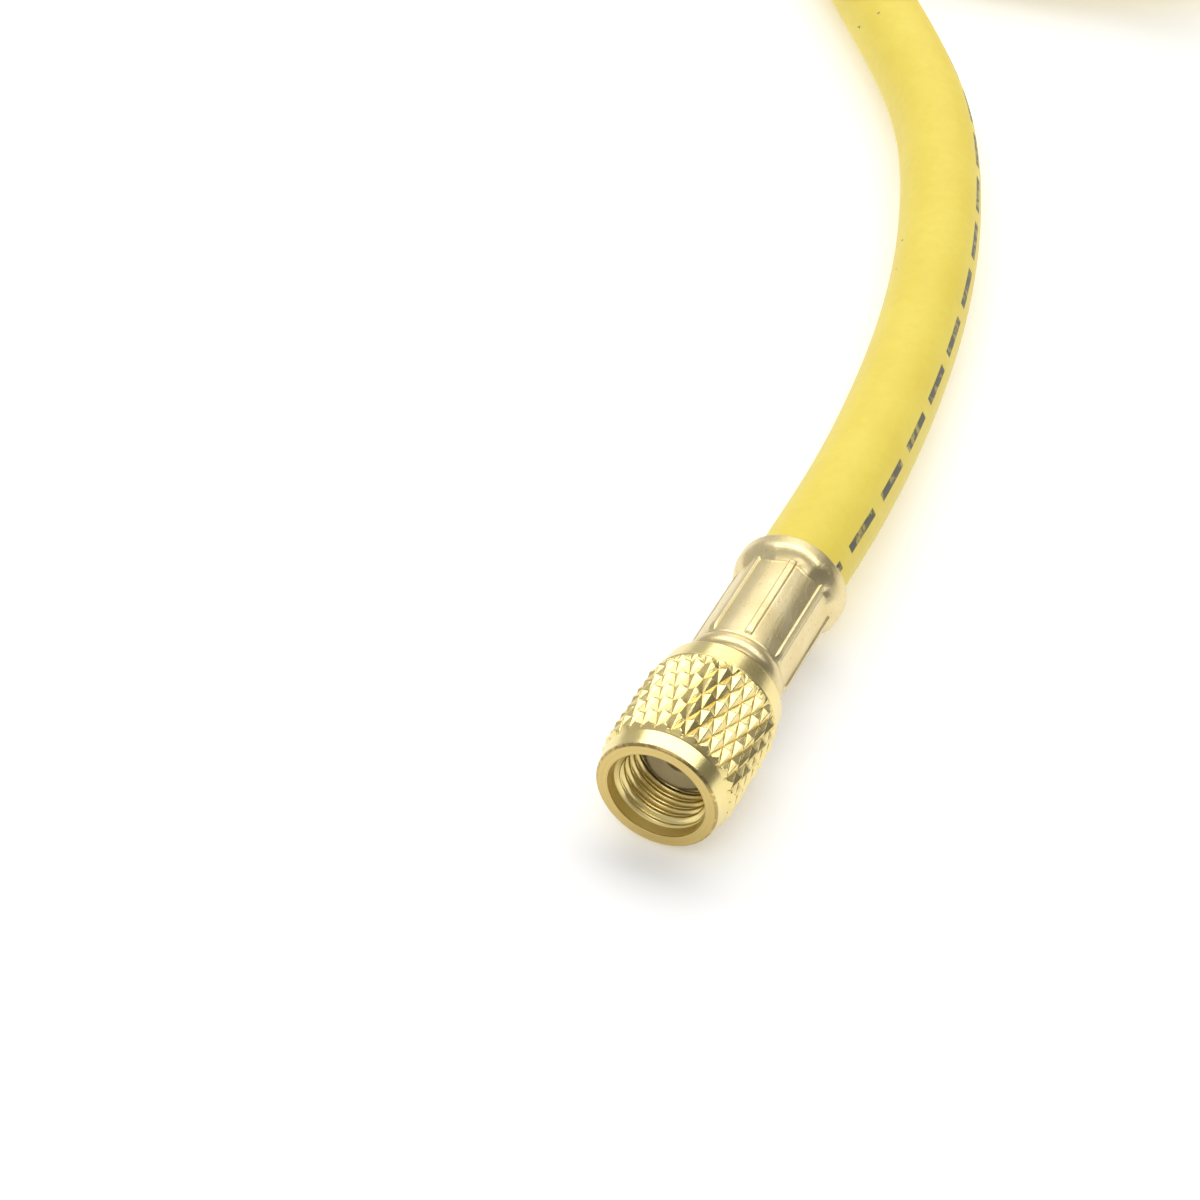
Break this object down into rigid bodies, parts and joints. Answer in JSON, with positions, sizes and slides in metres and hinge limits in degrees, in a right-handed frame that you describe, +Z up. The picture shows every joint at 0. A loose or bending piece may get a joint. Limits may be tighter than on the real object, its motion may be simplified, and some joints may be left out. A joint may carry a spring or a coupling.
{
  "type": "refrigerant charging hose",
  "caption": "Yellow refrigerant charging hose with a knurled brass swivel nut on a crimped ferrule at each end, its spare length in a tied coil.",
  "frame": {"origin": "on the floor under the middle of the near fitting, whose swivel nut lies on the floor", "axes": "+Y along the near fitting from the nut's mouth to the hose, +Z up from the floor, +X to the right"},
  "size_m": [0.1289, 0.3228, 0.0288],
  "materials": {
    "nut_brass": "machined bright brass",
    "ferrule_brass": "satin pressed brass",
    "washer_nylon": "milky",
    "hose_rubber": "smooth matte",
    "tie_strap": "hook-and-loop tape"
  },
  "bodies": {
    "hose": {"hose_run": "hose_rubber", "hose_coil": "hose_rubber", "hose_tail": "hose_rubber", "coil_tie": "tie_strap", "seal_near": "washer_nylon", "stem_near": "nut_brass", "ferrule_near": "ferrule_brass", "seal_far": "washer_nylon", "stem_far": "nut_brass", "ferrule_far": "ferrule_brass"},
    "near_nut": {"knurled_nut_near": "nut_brass"},
    "far_nut": {"knurled_nut_far": "nut_brass"}
  },
  "joints": [
    {"name": "near_nut_spin", "type": "hinge", "parent": "hose", "child": "near_nut", "pos_m": [0, -0.0106, 0.0081], "axis": [0, 1, 0], "continuous": true},
    {"name": "far_nut_spin", "type": "hinge", "parent": "hose", "child": "far_nut", "pos_m": [-0.00778, 0.1851, 0.0207], "axis": [0.6755, 0.7373, 0], "continuous": true}
  ]
}
